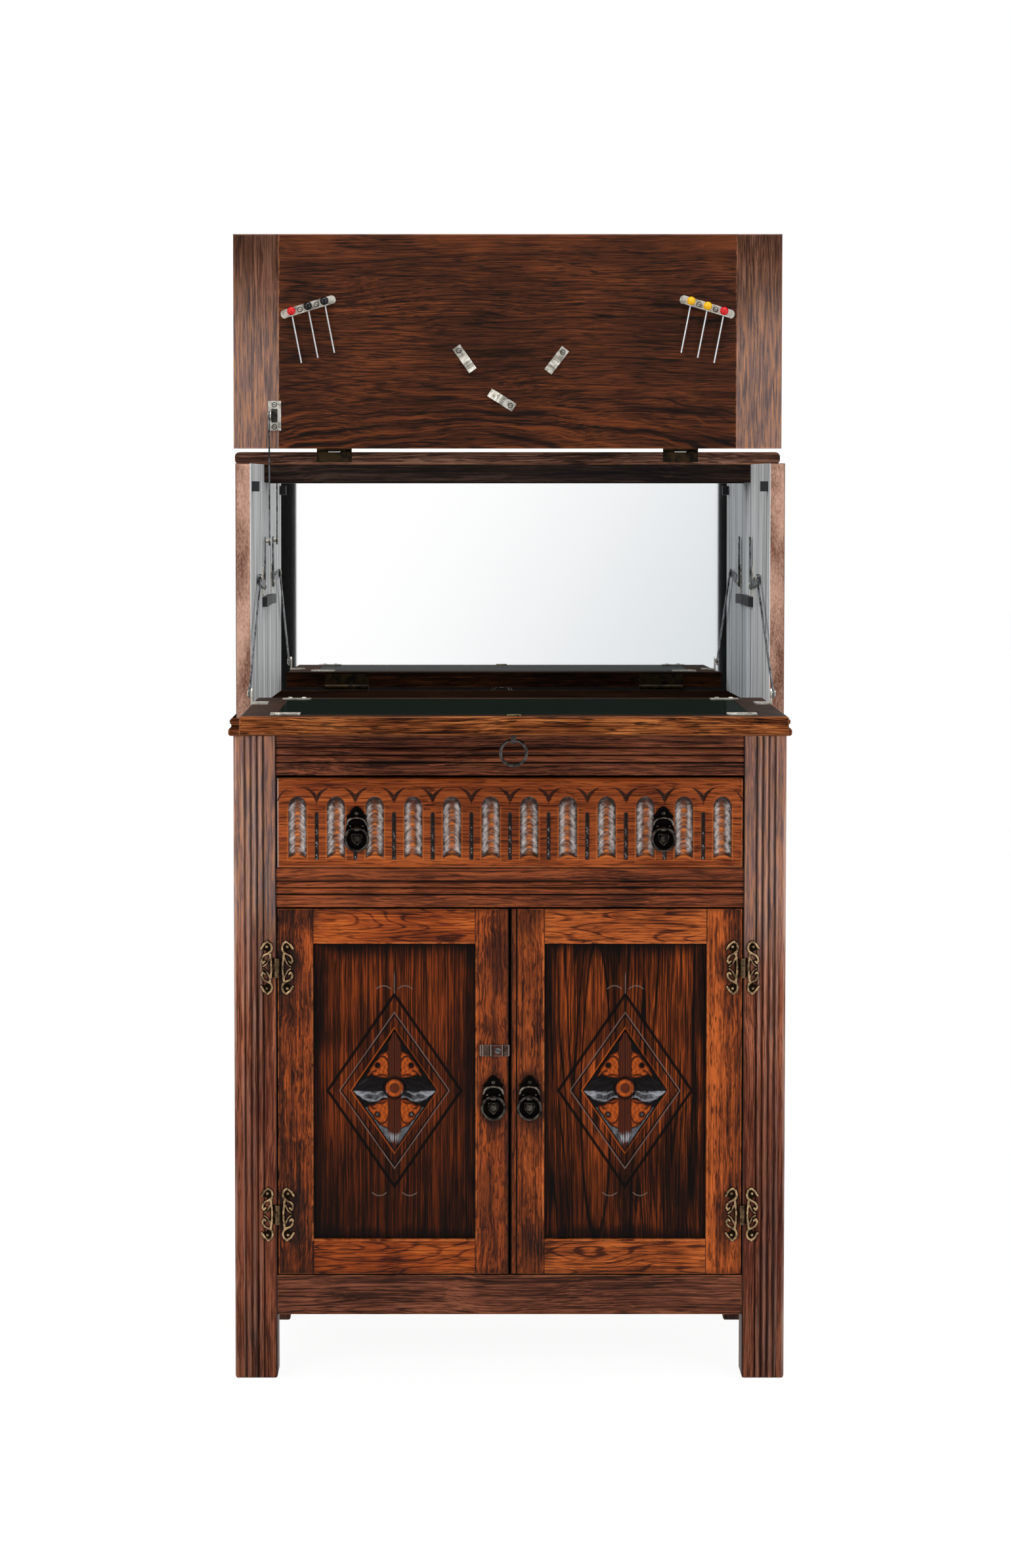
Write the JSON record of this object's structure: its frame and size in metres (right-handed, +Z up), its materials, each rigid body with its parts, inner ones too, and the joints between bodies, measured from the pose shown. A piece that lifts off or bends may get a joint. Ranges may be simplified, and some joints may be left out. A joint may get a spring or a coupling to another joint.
{
  "type": "bar cabinet",
  "caption": "Free-standing oak bar cabinet: a lid and a glass-topped fold-out shelf linked by levers over a mirrored compartment, above a carved drawer and a cupboard with doors.",
  "frame": {"origin": "middle of the footprint box with the shelf folded out, on the floor", "axes": "+X to the right seen from the front, +Y from the front to the back, +Z up"},
  "size_m": [0.797, 0.701, 1.603],
  "materials": {
    "oak_dark": "dark stained, waxed, worn pale on edges",
    "oak_warm": "orange-brown stained, satin",
    "oak_inside": "unfinished, silver-grey",
    "painted_block": "painted black",
    "glass": "clear, green at the edges",
    "mirror": "silvered",
    "nickel": "nickel plated, dulled",
    "steel": "plain sheet steel",
    "aged_brass": "antique, darkened in the hollows",
    "bronze": "black bronze, satin",
    "red_bead": "gloss",
    "black_bead": "gloss",
    "yellow_bead": "gloss"
  },
  "bodies": {
    "cabinet": {"apron": "oak_dark", "back_panels": "oak_inside", "base_side_panels": "oak_dark", "bottom_rail": "oak_dark", "cupboard_boards": "oak_inside", "door_hinge_post_leaves": "aged_brass", "drawer_runners": "oak_inside", "flap_hinge_fixed": "aged_brass", "flap_stop_blocks": "painted_block", "frieze_rail": "oak_dark", "front_posts": "oak_dark", "hinge_rail": "oak_dark", "lever_pivot_plates": "steel", "lid_hinge_fixed": "steel", "mid_rail": "oak_dark", "mirror": "mirror", "rear_posts": "oak_dark", "shelf_bearers": "oak_inside", "upper_sides": "oak_dark", "waist_board": "oak_dark"},
    "door_left": {"door_left_frame": "oak_warm", "door_left_hinge_leaves": "aged_brass", "door_left_panel": "oak_dark", "door_left_pull_plate": "bronze", "latch_screw": "bronze"},
    "door_ring_left": {"door_left_ring": "bronze"},
    "door_right": {"door_right_frame": "oak_warm", "door_right_hinge_leaves": "aged_brass", "door_right_panel": "oak_dark", "door_right_pull_plate": "bronze"},
    "door_ring_right": {"door_right_ring": "bronze"},
    "drawer": {"drawer_box": "oak_inside", "drawer_front": "oak_warm", "drawer_pull_plates": "bronze"},
    "drawer_ring_left": {"drawer_left_ring": "bronze"},
    "drawer_ring_right": {"drawer_right_ring": "bronze"},
    "flap": {"flap_board": "oak_dark", "flap_glass": "glass", "flap_hinge_leaves": "aged_brass", "flap_pull_plate": "bronze", "flap_rod_brackets": "nickel", "flap_strike": "aged_brass", "glass_clips": "nickel"},
    "flap_ring": {"flap_ring": "bronze"},
    "flap_rods": {"flap_rods": "steel"},
    "levers": {"levers": "steel"},
    "lid": {"lid_cleats": "oak_dark", "lid_hinge_leaves": "steel", "lid_planks": "oak_dark", "lid_rod_bracket": "nickel", "pick_racks": "nickel", "spring_clips": "nickel"},
    "lid_rod": {"lid_rod": "steel"},
    "pick_1": {"pick_1": "red_bead"},
    "pick_2": {"pick_2": "black_bead"},
    "pick_3": {"pick_3": "black_bead"},
    "pick_4": {"pick_4": "yellow_bead"},
    "pick_5": {"pick_5": "yellow_bead"},
    "pick_6": {"pick_6": "red_bead"},
    "latch": {"turn_latch": "bronze"}
  },
  "joints": [
    {"name": "lid_hinge", "type": "hinge", "parent": "cabinet", "child": "lid", "pos_m": [0, 0.2845, 1.292], "axis": [1, 0, 0], "range_deg": [0, 90]},
    {"name": "flap_hinge", "type": "hinge", "parent": "cabinet", "child": "flap", "pos_m": [0, -0.0055, 0.9245], "axis": [-1, 0, 0], "range_deg": [0, 90]},
    {"name": "lever_turn", "type": "hinge", "parent": "cabinet", "child": "levers", "pos_m": [0, 0.2465, 1.094], "axis": [-1, 0, 0], "range_deg": [0, 84]},
    {"name": "lid_rod_turn", "type": "hinge", "parent": "lid", "child": "lid_rod", "pos_m": [0, 0.2525, 1.34], "axis": [-1, 0, 0], "range_deg": [0, 66.35]},
    {"name": "flap_rods_turn", "type": "hinge", "parent": "flap", "child": "flap_rods", "pos_m": [0, -0.1235, 0.962], "axis": [1, 0, 0], "range_deg": [0, 99.16]},
    {"name": "flap_ring_swing", "type": "hinge", "parent": "flap", "child": "flap_ring", "pos_m": [0, -0.3155, 0.915], "axis": [1, 0, 0], "range_deg": [-85, 85]},
    {"name": "drawer_slide", "type": "slide", "parent": "cabinet", "child": "drawer", "axis": [0, -1, 0], "range_m": [0, 0.24]},
    {"name": "drawer_left_ring_swing", "type": "hinge", "parent": "drawer", "child": "drawer_ring_left", "pos_m": [-0.211, -0.0121, 0.76801], "axis": [-1, 0, 0], "range_deg": [0, 85]},
    {"name": "drawer_right_ring_swing", "type": "hinge", "parent": "drawer", "child": "drawer_ring_right", "pos_m": [0.211, -0.0121, 0.76801], "axis": [-1, 0, 0], "range_deg": [0, 85]},
    {"name": "door_left_hinge", "type": "hinge", "parent": "cabinet", "child": "door_left", "pos_m": [-0.32125, -0.0098, 0.40175], "axis": [0, 0, -1], "range_deg": [0, 110]},
    {"name": "door_right_hinge", "type": "hinge", "parent": "cabinet", "child": "door_right", "pos_m": [0.32125, -0.0098, 0.40175], "axis": [0, 0, 1], "range_deg": [0, 110]},
    {"name": "door_left_ring_swing", "type": "hinge", "parent": "door_left", "child": "door_ring_left", "pos_m": [-0.0228, -0.0121, 0.39481], "axis": [-1, 0, 0], "range_deg": [0, 85]},
    {"name": "door_right_ring_swing", "type": "hinge", "parent": "door_right", "child": "door_ring_right", "pos_m": [0.0272, -0.0121, 0.39481], "axis": [-1, 0, 0], "range_deg": [0, 85]},
    {"name": "turn_latch_turn", "type": "hinge", "parent": "door_left", "child": "latch", "pos_m": [-0.0166, -0.0055, 0.46], "axis": [0, -1, 0], "range_deg": [0, 90]},
    {"name": "pick_1_slide", "type": "slide", "parent": "lid", "child": "pick_1", "axis": [0.1908, 0, -0.9816], "range_m": [-0.075, 0]},
    {"name": "pick_2_slide", "type": "slide", "parent": "lid", "child": "pick_2", "axis": [0.1908, 0, -0.9816], "range_m": [-0.075, 0]},
    {"name": "pick_3_slide", "type": "slide", "parent": "lid", "child": "pick_3", "axis": [0.1908, 0, -0.9816], "range_m": [-0.075, 0]},
    {"name": "pick_4_slide", "type": "slide", "parent": "lid", "child": "pick_4", "axis": [-0.1908, 0, -0.9816], "range_m": [-0.075, 0]},
    {"name": "pick_5_slide", "type": "slide", "parent": "lid", "child": "pick_5", "axis": [-0.1908, 0, -0.9816], "range_m": [-0.075, 0]},
    {"name": "pick_6_slide", "type": "slide", "parent": "lid", "child": "pick_6", "axis": [-0.1908, 0, -0.9816], "range_m": [-0.075, 0]}
  ],
  "couplings": [
    {"joint": "flap_hinge", "follows": "lid_hinge", "ratio": 1},
    {"joint": "lever_turn", "follows": "lid_hinge", "ratio": 0.93333},
    {"joint": "lid_rod_turn", "follows": "lid_hinge", "ratio": 0.73607},
    {"joint": "flap_rods_turn", "follows": "lid_hinge", "ratio": 1.1006}
  ]
}
